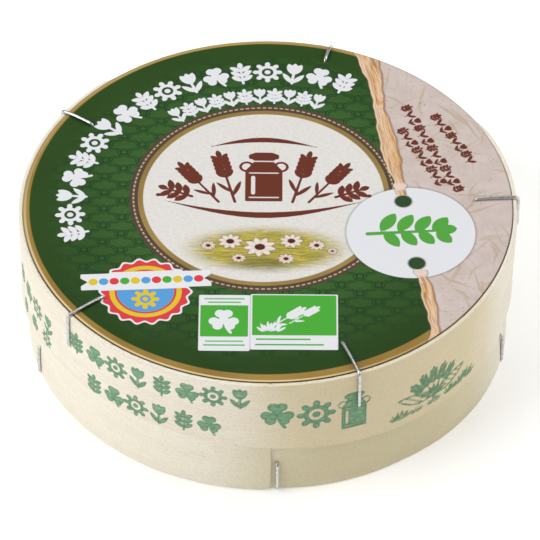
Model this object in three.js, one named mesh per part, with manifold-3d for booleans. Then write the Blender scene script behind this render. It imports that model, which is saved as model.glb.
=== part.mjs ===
// A soft white-rind cheese wheel in its round poplar-veneer box: a base and a slip lid,
// each a bent hoop of veneer stapled round a thin disc, with a paper label on the lid.
// Millimetres, +Z up. The origin is on the box's axis, at the face that it stands on.
import * as THREE from 'three';
import { mergeVertices } from 'three/addons/utils/BufferGeometryUtils.js';
import Module from 'manifold-3d';

const wasm = await Module();
wasm.setup();

// The box as a whole
const boxHeight = 35.6; // floor to the rim of the lid
const lidRadius = 57.5; // outside of the lid's hoop, where it is one layer thick
const baseRadius = 56.1; // outside of the base's hoop, which slips up inside the lid
const hoopSides = 128; // straight facets in one turn of a hoop or disc
const clearance = 0.3; // gap left wherever one piece rests on another

// Veneer hoops
const lidVeneer = 0.95; // thickness
const baseVeneer = 0.9;
const lidSkirt = 20.5; // mean height of the lid's hoop
const lidWarp = 1.7; // how far its sprung lower edge rises and dips, twice in a turn
const lapAngle = 26; // degrees that the end of a hoop laps over its start
const easeAngle = 14; // degrees over which the strip climbs onto its own start
const buriedShare = 0.55; // thickness left on the pared start, as a share of the veneer
const outerShare = 0.75; // thickness left on the pared end that covers it
const lapGap = 0.1; // glue-free gap between the two layers
const lidSeam = 81; // azimuth in degrees of the visible end of the lid's hoop
const baseSeam = 271; // and of the base's hoop

// Discs and paper
const baseDiscThickness = 1.8;
const lidDiscThickness = 1.6;
const labelThickness = 0.25;
const paperThickness = 0.3;

// Staples, bent from one gauge of round wire
const wireRadius = 0.42;
const wireSides = 8;
const bendRadius = 0.75;
const bendSteps = 4;
const holeRadius = 0.7; // hole that each prong is driven through
const lidStapleAngles = [3, 75, 147, 219, 291];
const lidTopLegs = [9.7, 6.2, 8.4, 9.9, 10.6]; // length across the label, from the hoop's outside
const lidSideLegs = [8.4, 8.2, 9.0, 9.4, 10.2]; // length down the hoop
const baseStapleAngles = [56.5, 128.5, 200.5, 272.5, 344.5];
const baseUnderLeg = 8.5;
const baseSideLegs = [8.6, 8.4, 8.9, 8.6, 9.0];
const grooveDepth = 1.1; // groove that an underside leg is pressed into
const grooveWidth = 1.5;
const holeReach = 4; // length of the cutters that pierce a hoop
const tipCover = 0.12; // veneer left between a clipped prong's tip and the far face

// Cheese
const cheeseRadius = 53;
const cheeseHeight = 28.2;
const rindRounding = 4.2; // radius of the cheese's edges
const wrapperOpening = 7; // radius left open where the paper's folds meet underneath
const cheeseSides = 60;
const cornerSteps = 4;

// Heights worked out from those
const lidDiscTop = boxHeight - labelThickness - clearance;
const lidDiscBottom = lidDiscTop - lidDiscThickness;
const baseHoopHeight = lidDiscBottom - clearance;
const lidInside = lidRadius - lidVeneer;
const baseInside = baseRadius - baseVeneer;
const lidDiscRadius = lidInside - clearance;
const baseDiscRadius = baseInside - clearance;
const labelBottom = boxHeight - labelThickness;
const wrapperBottom = baseDiscThickness + clearance;
const cheeseBottom = wrapperBottom + paperThickness + clearance;
const wrapperGap = paperThickness + clearance;

const radians = THREE.MathUtils.degToRad;

function material(colour, roughness, metalness = 0) {
  return new THREE.MeshStandardMaterial({ color: colour, roughness, metalness });
}

const poplarLight = material(0xe9e2cf, 0.72);
const poplarBase = material(0xddd6bb, 0.74);
const poplarDisc = material(0xdccfae, 0.78);
const labelPaper = material(0x36502e, 0.5);
const wireSteel = material(0x9a9b9c, 0.3, 1);
const waxedPaper = material(0xf0ede2, 0.55);
const whiteRind = material(0xefe9da, 0.9);

// Booleans: positions only, shared corners merged
function toSolid(geometry) {
  const bare = geometry.clone();
  bare.deleteAttribute('normal');
  bare.deleteAttribute('uv');
  const merged = mergeVertices(bare, 1e-5);
  return new wasm.Manifold(
    new wasm.Mesh({
      numProp: 3,
      vertProperties: new Float32Array(merged.attributes.position.array),
      triVerts: new Uint32Array(merged.index.array),
    }),
  );
}

function toGeometry(solid) {
  const mesh = solid.getMesh();
  const geometry = new THREE.BufferGeometry();
  geometry.setAttribute('position', new THREE.BufferAttribute(mesh.vertProperties, 3));
  geometry.setIndex(new THREE.BufferAttribute(mesh.triVerts, 1));
  geometry.computeVertexNormals();
  return geometry;
}

function cutAway(geometry, cutters) {
  let solid = toSolid(geometry);
  for (const cutter of cutters) solid = solid.subtract(toSolid(cutter));
  return toGeometry(solid);
}

// How far the strip has climbed onto its own start at an azimuth: 0 is one layer, 1 is the full lap
function climbAt(seam, azimuth) {
  const beforeSeam = THREE.MathUtils.euclideanModulo(seam - azimuth, 360);
  return 1 - THREE.MathUtils.smoothstep(beforeSeam, lapAngle, lapAngle + easeAngle);
}

// How far the outer face stands out over a full lap
function lapRise(veneer) {
  return veneer * (buriedShare + outerShare - 1) + lapGap;
}

// A strip of veneer wound once round and lapped over its own pared start, seen from above.
// It runs anticlockwise and ends, on the outside, at the azimuth of the seam.
function hoopOutline(outerRadius, veneer, seam) {
  const turn = 360 + lapAngle;
  const steps = Math.round((hoopSides * turn) / 360);
  const outside = [];
  const inside = [];
  for (let i = 0; i <= steps; i += 1) {
    const run = (turn * i) / steps;
    const buried = 1 - THREE.MathUtils.smoothstep(run, lapAngle, lapAngle + easeAngle);
    const over = run > 180 ? climbAt(seam, seam - turn + run) : 0;
    const innerRadius = outerRadius - veneer + over * (buriedShare * veneer + lapGap);
    const thickness = veneer * (1 - (1 - buriedShare) * buried - (1 - outerShare) * over);
    const azimuth = radians(seam - turn + run);
    const ray = new THREE.Vector2(Math.cos(azimuth), Math.sin(azimuth));
    outside.push(ray.clone().multiplyScalar(innerRadius + thickness));
    inside.push(ray.clone().multiplyScalar(innerRadius));
  }
  return new THREE.Shape([...outside, ...inside.reverse()]);
}

function hoop(outerRadius, veneer, seam, bottom, top, warp) {
  const outline = hoopOutline(outerRadius, veneer, seam);
  const geometry = new THREE.ExtrudeGeometry(outline, { depth: top - bottom, bevelEnabled: false });
  const position = geometry.attributes.position;
  for (let i = 0; i < position.count; i += 1) {
    const azimuth = Math.atan2(position.getY(i), position.getX(i));
    const atLowerEdge = position.getZ(i) < (top - bottom) / 2;
    if (atLowerEdge) position.setZ(i, warp * Math.sin(2 * azimuth));
  }
  geometry.translate(0, 0, bottom);
  return geometry;
}

function disc(radius, bottom, top) {
  const geometry = new THREE.CylinderGeometry(radius, radius, top - bottom, hoopSides);
  geometry.rotateX(Math.PI / 2);
  geometry.translate(0, 0, (top + bottom) / 2);
  return geometry;
}

// The path of a bent wire: straight runs between rounded corners, stepped only where it bends
class BentWire extends THREE.Curve {
  constructor(corners) {
    super();
    this.stations = [corners[0]];
    for (let i = 1; i < corners.length - 1; i += 1) {
      const before = corners[i - 1].clone().sub(corners[i]).normalize();
      const after = corners[i + 1].clone().sub(corners[i]).normalize();
      const centre = corners[i].clone().addScaledVector(before, bendRadius).addScaledVector(after, bendRadius);
      for (let k = 0; k <= bendSteps; k += 1) {
        const sweep = (Math.PI / 2) * (k / bendSteps);
        this.stations.push(
          centre
            .clone()
            .addScaledVector(after, -bendRadius * Math.cos(sweep))
            .addScaledVector(before, -bendRadius * Math.sin(sweep)),
        );
      }
    }
    this.stations.push(corners[corners.length - 1]);
  }

  get steps() {
    return this.stations.length - 1;
  }

  getPoint(t) {
    return this.stations[Math.round(t * this.steps)].clone();
  }

  getPointAt(u) {
    return this.getPoint(u);
  }

  getTangentAt(u, target = new THREE.Vector3()) {
    const i = Math.round(u * this.steps);
    const behind = this.stations[Math.max(i - 1, 0)];
    const ahead = this.stations[Math.min(i + 1, this.steps)];
    return target.copy(ahead).sub(behind).normalize();
  }
}

function wire(corners) {
  const path = new BentWire(corners.map(([radius, z]) => new THREE.Vector3(radius, 0, z)));
  const section = new THREE.Shape();
  section.absarc(0, 0, wireRadius, 0, Math.PI * 2);
  return new THREE.ExtrudeGeometry(section, {
    steps: path.steps,
    curveSegments: wireSides / 2,
    extrudePath: path,
    bevelEnabled: false,
  });
}

// Corners of each staple as [distance from the axis, height], from tip to tip
function lidStapleCorners(i) {
  const outside = lidRadius + lapRise(lidVeneer) * climbAt(lidSeam, lidStapleAngles[i]);
  const across = boxHeight + clearance + wireRadius;
  const beside = outside + clearance + wireRadius;
  const prong = lidRadius - lidTopLegs[i];
  const low = boxHeight - lidSideLegs[i];
  return [
    [prong, lidDiscBottom + tipCover],
    [prong, across],
    [beside, across],
    [beside, low],
    [lidInside + tipCover, low],
  ];
}

function baseStapleCorners(i) {
  const outside = baseRadius + lapRise(baseVeneer) * climbAt(baseSeam, baseStapleAngles[i]);
  const under = wireRadius + tipCover;
  const beside = outside + clearance + wireRadius;
  const prong = baseRadius - baseUnderLeg;
  return [
    [prong, baseDiscThickness - tipCover],
    [prong, under],
    [beside, under],
    [beside, baseSideLegs[i]],
    [baseInside + tipCover, baseSideLegs[i]],
  ];
}

// Cutters: a hole down through a disc, a hole in through a hoop, and a groove for a sunk leg
function holeDown(azimuth, radius) {
  const cutter = new THREE.CylinderGeometry(holeRadius, holeRadius, boxHeight * 3, wireSides);
  cutter.rotateX(Math.PI / 2);
  cutter.translate(radius, 0, 0);
  cutter.rotateZ(radians(azimuth));
  return cutter;
}

function holeThrough(azimuth, radius, height) {
  const cutter = new THREE.CylinderGeometry(holeRadius, holeRadius, holeReach, wireSides);
  cutter.rotateZ(Math.PI / 2);
  cutter.translate(radius, 0, height);
  cutter.rotateZ(radians(azimuth));
  return cutter;
}

function groove(azimuth) {
  const inner = baseRadius - baseUnderLeg - grooveWidth / 2;
  const outer = baseRadius + holeReach;
  const cutter = new THREE.BoxGeometry(outer - inner, grooveWidth, 2 * grooveDepth);
  cutter.translate((outer + inner) / 2, 0, 0);
  cutter.rotateZ(radians(azimuth));
  return cutter;
}

// A quarter turn of a profile's rounded corner, from one direction to the next
function corner(centreRadius, centreHeight, radius, fromDegrees, toDegrees) {
  const points = [];
  for (let k = 0; k <= cornerSteps; k += 1) {
    const angle = radians(fromDegrees + ((toDegrees - fromDegrees) * k) / cornerSteps);
    points.push(
      new THREE.Vector2(centreRadius + radius * Math.cos(angle), centreHeight + radius * Math.sin(angle)),
    );
  }
  return points;
}

function turned(profile) {
  const geometry = new THREE.LatheGeometry(profile, cheeseSides);
  geometry.rotateX(Math.PI / 2);
  return geometry;
}

function cheese() {
  const top = cheeseBottom + cheeseHeight;
  const centre = cheeseRadius - rindRounding;
  return turned([
    new THREE.Vector2(0, cheeseBottom),
    ...corner(centre, cheeseBottom + rindRounding, rindRounding, -90, 0),
    ...corner(centre, top - rindRounding, rindRounding, 0, 90),
    new THREE.Vector2(0, top),
  ]);
}

// A sheet folded down round the cheese, open where its gathered folds meet underneath
function wrapper() {
  const top = cheeseBottom + cheeseHeight;
  const centre = cheeseRadius - rindRounding;
  const inner = rindRounding + clearance;
  const outer = rindRounding + wrapperGap;
  const low = cheeseBottom + rindRounding;
  const high = top - rindRounding;
  return turned([
    new THREE.Vector2(0, top + clearance),
    ...corner(centre, high, inner, 90, 0),
    ...corner(centre, low, inner, 0, -90),
    new THREE.Vector2(wrapperOpening, low - inner),
    new THREE.Vector2(wrapperOpening, low - outer),
    ...corner(centre, low, outer, -90, 0),
    ...corner(centre, high, outer, 0, 90),
    new THREE.Vector2(0, top + wrapperGap),
  ]);
}

const box = new THREE.Group();

function addPiece(name, geometry, finish, azimuth = 0) {
  const mesh = new THREE.Mesh(geometry, finish);
  mesh.name = name;
  mesh.rotation.z = radians(azimuth);
  box.add(mesh);
}

// Base
const baseGrooves = baseStapleAngles.map((azimuth) => groove(azimuth));
const baseDiscHoles = baseStapleAngles.map((azimuth) => holeDown(azimuth, baseRadius - baseUnderLeg));
const baseHoopHoles = baseStapleAngles.map((azimuth, i) => holeThrough(azimuth, baseRadius, baseSideLegs[i]));
const baseHoop = hoop(baseRadius, baseVeneer, baseSeam, 0, baseHoopHeight, 0);
const baseFloor = disc(baseDiscRadius, 0, baseDiscThickness);
addPiece('base_disc', cutAway(baseFloor, [...baseGrooves, ...baseDiscHoles]), poplarDisc);
addPiece('base_band', cutAway(baseHoop, [...baseGrooves, ...baseHoopHoles]), poplarBase);
baseStapleAngles.forEach((azimuth, i) => {
  addPiece(`base_staple_${i + 1}`, wire(baseStapleCorners(i)), wireSteel, azimuth);
});

// Lid
const lidDiscHoles = lidStapleAngles.map((azimuth, i) => holeDown(azimuth, lidRadius - lidTopLegs[i]));
const lidHoopHoles = lidStapleAngles.map((azimuth, i) => (
  holeThrough(azimuth, lidRadius, boxHeight - lidSideLegs[i])
));
const lidHoop = hoop(lidRadius, lidVeneer, lidSeam, boxHeight - lidSkirt, boxHeight, lidWarp);
addPiece('lid_disc', cutAway(disc(lidDiscRadius, lidDiscBottom, lidDiscTop), lidDiscHoles), poplarDisc);
addPiece('lid_band', cutAway(lidHoop, lidHoopHoles), poplarLight);
addPiece('lid_label', cutAway(disc(lidDiscRadius, labelBottom, boxHeight), lidDiscHoles), labelPaper);
lidStapleAngles.forEach((azimuth, i) => {
  addPiece(`lid_staple_${i + 1}`, wire(lidStapleCorners(i)), wireSteel, azimuth);
});

// What the box holds
addPiece('cheese_wrapper', wrapper(), waxedPaper);
addPiece('cheese_wheel', cheese(), whiteRind);

export default box;
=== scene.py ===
import math
import random

import bmesh
import bpy
import numpy as np
from mathutils import Matrix, Vector, geometry, noise


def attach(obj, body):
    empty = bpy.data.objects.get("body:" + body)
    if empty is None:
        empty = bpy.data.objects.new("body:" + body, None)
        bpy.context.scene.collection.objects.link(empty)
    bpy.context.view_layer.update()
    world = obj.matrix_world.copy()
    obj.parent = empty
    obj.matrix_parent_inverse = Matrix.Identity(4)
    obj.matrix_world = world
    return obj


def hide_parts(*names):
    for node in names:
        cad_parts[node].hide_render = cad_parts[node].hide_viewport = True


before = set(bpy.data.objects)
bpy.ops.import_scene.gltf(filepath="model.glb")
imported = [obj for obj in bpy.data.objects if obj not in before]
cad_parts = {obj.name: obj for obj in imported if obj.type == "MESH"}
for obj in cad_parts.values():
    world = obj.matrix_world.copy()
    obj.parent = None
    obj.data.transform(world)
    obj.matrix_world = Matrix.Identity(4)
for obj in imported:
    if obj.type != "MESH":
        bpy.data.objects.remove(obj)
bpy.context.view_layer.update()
mm = 0.001  # sizes below are in millimetres, meshes in metres
scene = bpy.context.scene


# node trees written as expressions

class Link:
    # one socket of a shader or geometry tree: arithmetic adds Math nodes, node() adds any other kind
    def __init__(self, tree, socket=None, maker=None):
        self.tree = tree
        self.socket = socket
        self.maker = maker

    def node(self, kind, settings=None, values=None, out=0):
        made = self.tree.nodes.new(kind)
        for name, value in (settings or {}).items():
            if name == "stops":
                setStops(made.color_ramp, value)
            else:
                setattr(made, name, value)
        for name, value in (values or {}).items():
            if isinstance(value, Link):
                self.tree.links.new(value.socket, made.inputs[name])
            else:
                made.inputs[name].default_value = value
        return Link(self.tree, made.outputs[out] if len(made.outputs) else None, made)

    def output(self, name):
        return Link(self.tree, self.maker.outputs[name], self.maker)

    def math(self, operation, *others):
        return self.node("ShaderNodeMath", {"operation": operation}, dict(enumerate((self, *others))))

    def __add__(self, other):
        return self.math("ADD", other)

    def __sub__(self, other):
        return self.math("SUBTRACT", other)

    def __mul__(self, other):
        return self.math("MULTIPLY", other)

    def __truediv__(self, other):
        return self.math("DIVIDE", other)

    def __rsub__(self, other):
        return self.node("ShaderNodeMath", {"operation": "SUBTRACT"}, {0: other, 1: self})

    __radd__ = __add__
    __rmul__ = __mul__

    def atLeast(self, other):
        return self.math("MAXIMUM", other)

    def atMost(self, other):
        return self.math("MINIMUM", other)

    def clamped(self):
        return self.atLeast(0).atMost(1)

    def smooth(self, low, high, start=0.0, end=1.0):
        return self.node("ShaderNodeMapRange", {"interpolation_type": "SMOOTHSTEP"},
                         {"Value": self, 1: low, 2: high, 3: start, 4: end})

    def printed(self, softness=0.12):
        # a distance to an edge, below zero inside, as a mask with a crisp border
        return (0.5 - self / softness).clamped()

    def over(self, under, colour):
        # self is the mask that lays colour on what is under it
        return self.node("ShaderNodeMix", {"data_type": "RGBA"}, {0: self, 6: under, 7: colour}, out=2)


def setStops(ramp, stops):
    while len(ramp.elements) < len(stops):
        ramp.elements.new(0.5)
    for element, (place, colour) in zip(ramp.elements, stops):
        element.position = place
        element.color = colour


def paint(code):
    # a hex colour as the linear RGBA that shaders take
    channels = [int(code[i:i + 2], 16) / 255 for i in (1, 3, 5)]
    return [c / 12.92 if c <= 0.04045 else ((c + 0.055) / 1.055) ** 2.4 for c in channels] + [1.0]


def newMaterial(name):
    material = bpy.data.materials.new(name)
    material.use_nodes = True
    material.node_tree.nodes.clear()
    return material, Link(material.node_tree)


def closeMaterial(bench, colour, roughness, height, distance, **shader):
    # distance is the real height in millimetres of a step from 0 to 1
    bump = bench.node("ShaderNodeBump", {}, {"Strength": 1.0, "Distance": distance * mm, "Height": height})
    values = {"Base Color": colour, "Roughness": roughness, "Normal": bump}
    values.update({name.replace("_", " "): value for name, value in shader.items()})
    surface = bench.node("ShaderNodeBsdfPrincipled", {}, values)
    bench.node("ShaderNodeOutputMaterial", {}, {"Surface": surface})


def noiseAt(bench, vector, scale, detail=3.0, roughness=0.5, distortion=0.0):
    values = {"Vector": vector, "Scale": scale, "Detail": detail, "Roughness": roughness}
    return bench.node("ShaderNodeTexNoise", {}, {**values, "Distortion": distortion})


def stretched(bench, vector, scale):
    return bench.node("ShaderNodeMapping", {}, {"Vector": vector, "Scale": scale})


def objectMm(bench):
    # Object coordinates in millimetres
    place = bench.node("ShaderNodeTexCoord").output("Object")
    return bench.node("ShaderNodeVectorMath", {"operation": "SCALE"}, {"Vector": place, "Scale": 1 / mm})


def apart(bench, vector):
    split = bench.node("ShaderNodeSeparateXYZ", {}, {"Vector": vector})
    return split.output("X"), split.output("Y"), split.output("Z")


def together(bench, x, y, z=0.0):
    return bench.node("ShaderNodeCombineXYZ", {}, {"X": x, "Y": y, "Z": z})


def attribute(bench, name):
    return bench.node("ShaderNodeAttribute", {"attribute_name": name}).output("Vector")


# camera, light and floor

view = {"aim": (0.55, 0.0, 14.8), "distance": 1166.7, "elevation": 44.81, "roll": 0.36, "lens": 333.3}


def placeCamera():
    data = bpy.data.cameras.new("camera")
    data.lens = view["lens"]
    data.sensor_width = 36
    data.clip_start = 0.05
    data.clip_end = 20
    camera = bpy.data.objects.new("camera", data)
    scene.collection.objects.link(camera)
    tilt = math.radians(90 - view["elevation"])
    back = Vector((0, -math.sin(tilt), math.cos(tilt)))
    turn = Matrix.Rotation(tilt, 4, "X") @ Matrix.Rotation(math.radians(view["roll"]), 4, "Z")
    where = (Vector(view["aim"]) + back * view["distance"]) * mm
    camera.matrix_world = Matrix.Translation(where) @ turn
    scene.camera = camera


studio = {"worldStrength": 0.3, "floorGlow": 0.24}
lamps = [  # name, azimuth, height angle, distance, size, watts
    ("left softbox", 202, 38, 1.1, 0.9, 6.9),
    ("right softbox", 6, 38, 1.1, 0.7, 4.6),
    ("back softbox", 120, 68, 1.2, 0.9, 3.2),
]


def placeLights():
    for name, azimuth, height, distance, size, watts in lamps:
        data = bpy.data.lights.new(name, "AREA")
        data.shape = "DISK"
        data.size = size
        data.energy = watts
        lamp = bpy.data.objects.new(name, data)
        scene.collection.objects.link(lamp)
        a, h = math.radians(azimuth), math.radians(height)
        towards = Vector((math.cos(a) * math.cos(h), math.sin(a) * math.cos(h), math.sin(h)))
        turn = towards.to_track_quat("Z", "Y").to_matrix().to_4x4()
        lamp.matrix_world = Matrix.Translation(towards * distance) @ turn
    world = bpy.data.worlds.new("studio")
    world.use_nodes = True
    world.node_tree.nodes["Background"].inputs["Color"].default_value = (1, 1, 1, 1)
    world.node_tree.nodes["Background"].inputs["Strength"].default_value = studio["worldStrength"]
    scene.world = world
    scene.view_settings.view_transform = "Standard"
    scene.view_settings.look = "None"


def placeFloor():
    material, bench = newMaterial("floorPaper")
    grain = noiseAt(bench, objectMm(bench), 0.8)
    tone = grain.smooth(0.3, 0.7).over(paint("#f6f6f5"), paint("#f9f9f8"))
    closeMaterial(bench, tone, 0.85, grain, 0.02, Emission_Color=(1, 1, 1, 1),
                  Emission_Strength=studio["floorGlow"])
    bpy.ops.mesh.primitive_plane_add(size=6, location=(0, 0, -0.0002))
    floor = bpy.context.object
    floor.name = "floor"
    floor.data.materials.append(material)


placeCamera()
placeLights()
placeFloor()
print("camera, light and floor placed")


# geometry trees

class GeometryBench:
    # a geometry tree with named inputs; run() turns it into a plain mesh object
    def __init__(self, name, inputs):
        self.tree = bpy.data.node_groups.new(name, "GeometryNodeTree")
        self.tree.interface.new_socket("Geometry", in_out="OUTPUT", socket_type="NodeSocketGeometry")
        self.identifiers = {}
        for title, value in inputs.items():
            kind = "NodeSocketInt" if isinstance(value, int) else "NodeSocketFloat"
            socket = self.tree.interface.new_socket(title, in_out="INPUT", socket_type=kind)
            socket.default_value = value
            self.identifiers[title] = socket.identifier
        self.bench = Link(self.tree)
        self.given = self.bench.node("NodeGroupInput")

    def __getitem__(self, title):
        return self.given.output(title)

    def close(self, shape, material):
        plain = shape.node("GeometryNodeRealizeInstances", {}, {"Geometry": shape})
        coated = plain.node("GeometryNodeSetMaterial", {}, {"Geometry": plain, "Material": material})
        coated.node("NodeGroupOutput", {}, {0: coated})

    def run(self, name, values):
        holder = inScene(name, bpy.data.meshes.new(name))
        modifier = holder.modifiers.new("shape", "NODES")
        modifier.node_group = self.tree
        for title, value in values.items():
            modifier[self.identifiers[title]] = value
        depsgraph = bpy.context.evaluated_depsgraph_get()
        made = bpy.data.meshes.new_from_object(holder.evaluated_get(depsgraph))
        made.name = name
        holder.modifiers.remove(modifier)
        holder.data = made
        return holder


def positionOf(bench):
    return apart(bench, bench.node("GeometryNodeInputPosition"))


def moved(shape, x, y, z):
    return shape.node("GeometryNodeSetPosition", {},
                      {"Geometry": shape, "Position": together(shape, x, y, z)})


def aroundAxis(azimuth, radius):
    return azimuth.math("COSINE") * radius * mm, azimuth.math("SINE") * radius * mm


def adopt(piece, slot, *nodes):
    # the piece belongs to the box's one body and stands for these CAD nodes
    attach(piece, "root")
    if nodes:
        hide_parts(*nodes)
    return piece


def facesOutward(mesh):
    built = bmesh.new()
    built.from_mesh(mesh)
    bmesh.ops.recalc_face_normals(built, faces=built.faces)
    built.to_mesh(mesh)
    built.free()


def inScene(name, mesh):
    made = bpy.data.objects.new(name, mesh)
    scene.collection.objects.link(made)
    return made


def shadeSmooth(mesh, angle=40):
    mesh.polygons.foreach_set("use_smooth", [True] * len(mesh.polygons))
    mesh.set_sharp_from_angle(angle=math.radians(angle))


# prints: distances in millimetres to flat motifs, below zero inside

far = 9.0


def disk(p, centre, radius):
    return np.hypot(p[:, 0] - centre[0], p[:, 1] - centre[1]) - radius


def stroke(p, start, end, thick, thin=None):
    # a round-ended line whose half-width runs from thick to thin
    thin = thick if thin is None else thin
    a, along = np.array(start), np.array(end) - np.array(start)
    share = np.clip(((p - a) @ along) / (along @ along), 0, 1)
    gap = p - a - share[:, None] * along
    return np.hypot(gap[:, 0], gap[:, 1]) - (thick + (thin - thick) * share)


def leaf(p, base, tip, width):
    # two arcs that meet at base and tip, width to each side of the midrib
    a, b = np.array(base), np.array(tip)
    half = np.hypot(*(b - a)) / 2
    axis = (b - a) / (2 * half)
    offset = p - (a + b) / 2
    along = np.abs(offset @ axis)
    across = np.abs(offset @ np.array([-axis[1], axis[0]]))
    radius = (half * half + width * width) / (2 * width)
    sunk = radius - width
    beyond = (along - half) * sunk > across * half
    return np.where(beyond, np.hypot(across, along - half), np.hypot(across + sunk, along) - radius)


def plate(p, centre, halfWidth, halfHeight, corner=0.0, turn=0.0):
    q = np.abs(turned(p - np.array(centre), -turn)) - np.array([halfWidth, halfHeight]) + corner
    outside = np.hypot(np.maximum(q[:, 0], 0), np.maximum(q[:, 1], 0))
    return outside + np.minimum(np.maximum(q[:, 0], q[:, 1]), 0) - corner


def turned(p, degrees):
    c, s = math.cos(math.radians(degrees)), math.sin(math.radians(degrees))
    return np.stack([c * p[:, 0] - s * p[:, 1], s * p[:, 0] + c * p[:, 1]], axis=1)


def shape(p, corners):
    # a closed outline of straight sides
    best = np.full(len(p), far)
    winding = np.zeros(len(p), bool)
    for (ax, ay), (bx, by) in zip(corners, corners[1:] + corners[:1]):
        best = np.minimum(best, stroke(p, (ax, ay), (bx, by), 0.0))
        if ay != by:
            crosses = (ay > p[:, 1]) != (by > p[:, 1])
            winding ^= crosses & (p[:, 0] < (bx - ax) * (p[:, 1] - ay) / (by - ay) + ax)
    return np.where(winding, -best, best)


def join(*fields):
    return np.minimum.reduce(fields)


def cut(field, hole):
    return np.maximum(field, -hole)


def stamp(points, motif, centre, turn=0.0, scale=1.0, reach=8.0):
    # a motif drawn in its own upright frame, set down at centre; points out of reach stay far from it
    offset = points - np.array(centre)
    near = np.hypot(offset[:, 0], offset[:, 1]) < reach * scale
    field = np.full(len(points), far)
    if near.any():
        field[near] = motif(turned(offset[near], -turn) / scale) * scale
    return field


def sprig(p):
    leaves = [leaf(p, (0, y), (side * 2.3, y + 1.6), 0.62) for y in (-2.4, -0.9, 0.6) for side in (-1, 1)]
    return join(stroke(p, (0, -3.2), (0, 2.0), 0.3, 0.18), leaf(p, (0, 1.5), (0, 3.4), 0.6), *leaves)


def daisy(p):
    petals = []
    for k in range(9):
        a = 2 * math.pi * k / 9 + math.pi / 2
        x, y = math.cos(a), math.sin(a)
        petals.append(leaf(p, (0.5 * x, 0.5 * y), (3.0 * x, 3.0 * y), 0.62))
    return join(disk(p, (0, 0), 1.0), *petals)


def clover(p):
    fields = [stroke(p, (0, 0), (0.5, -2.0), 0.22), stroke(p, (0.5, -2.0), (1.3, -3.2), 0.22, 0.3)]
    for k in range(3):
        a = math.radians(90 + 120 * k)
        x, y = 1.75 * math.cos(a), 1.75 * math.sin(a)
        side = (-math.sin(a) * 0.72, math.cos(a) * 0.72)
        heart = [disk(p, (x + s * side[0], y + s * side[1]), 0.98) for s in (-1, 1)]
        fields += [*heart, leaf(p, (0, 0), (x * 1.3, y * 1.3), 0.95)]
    return join(*fields)


def wheat(p):
    grains = []
    for k in range(5):
        y = 0.2 + 0.85 * k
        grains += [leaf(p, (side * 0.1, y), (side * 1.25, y + 1.5), 0.42) for side in (-1, 1)]
    stem = stroke(p, (0, -5), (0, 4.5), 0.22, 0.14)
    blades = [leaf(p, (0, -3.8), (1.9, -0.9), 0.34), leaf(p, (0, -3.0), (-1.7, -0.4), 0.3)]
    return join(stem, leaf(p, (0, 4.2), (0, 6.0), 0.42), *grains, *blades)


def churn(p):
    half = [(2.7, -5.0), (2.7, 1.4), (1.55, 3.0), (1.55, 3.7), (2.2, 3.9), (2.2, 4.7), (1.2, 5.2)]
    body = shape(p, half + [(-x, y) for x, y in reversed(half)])
    handles = [cut(disk(p, (side * 2.5, 2.2), 1.1), disk(p, (side * 2.5, 2.2), 0.7)) for side in (-1, 1)]
    lines = [plate(p, (0, y), 2.2, 0.13) for y in (-4.2, 0.9, 3.35)]
    gleam = stroke(p, (-1.55, -3.3), (-1.55, 0.0), 0.3)
    return cut(join(body, *handles), join(gleam, *lines))


def tuft(p):
    blades = []
    for k in range(9):
        lean = (k - 4) / 4
        height = 3.2 - 1.5 * abs(lean) + (0.8 if k % 2 else 0.0)
        blades.append(leaf(p, (lean * 1.6, -2.6), (lean * 3.4 + 0.4, -2.6 + height), 0.3))
    return join(*blades)


def hatched(p):
    # slanting strokes, for shading a stamped shape
    return 0.26 - np.abs((p[:, 0] * 0.8 + p[:, 1] * 1.1) % 1.5 - 0.75)


def sheaf(p):
    # five ears of wheat fanned out from a tie, between two broad hatched leaves
    ears = []
    for lean in (-42, -21, 0, 21, 42):
        a = math.radians(lean)
        ears.append(stamp(p, wheat, (-4.1 * math.sin(a), 4.1 * math.cos(a) - 4.6), lean, 0.82))
    blades = join(*[leaf(p, (side * 0.6, -4.2), (side * 9.0, -0.8), 1.3) for side in (-1, 1)])
    outline = np.abs(blades + 0.12) - 0.2
    return join(*ears, plate(p, (0, -2.4), 1.2, 0.35), outline, np.maximum(blades, -hatched(p)))


def sunwheel(p):
    # a thick ring with eight rays and a boss
    rays = []
    for k in range(8):
        a = math.pi * k / 4
        x, y = math.cos(a), math.sin(a)
        rays.append(leaf(p, (1.9 * x, 1.9 * y), (3.4 * x, 3.4 * y), 0.62))
    ring = np.abs(disk(p, (0, 0), 1.75)) - 0.42
    return join(ring, disk(p, (0, 0), 0.7), *rays)


def tulip(p):
    cup = join(*[leaf(p, (0, -0.4), tip, width) for tip, width in (
        ((-1.5, 3.0), 0.85), ((1.5, 3.0), 0.85), ((0, 3.3), 0.8))])
    blades = [leaf(p, (0, -3.2), (side * 2.4, -0.2), 0.6) for side in (-1, 1)]
    return join(cup, stroke(p, (0, -3.3), (0, 0), 0.3), *blades)


def pair(p):
    # two small leaves on one stalk
    leaves = [leaf(p, (0, -1.0), (side * 1.25, 1.1), 0.42) for side in (-1, 1)]
    return join(stroke(p, (0, -1.6), (0, -0.4), 0.16), *leaves)


# the two hoops of bent veneer

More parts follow.
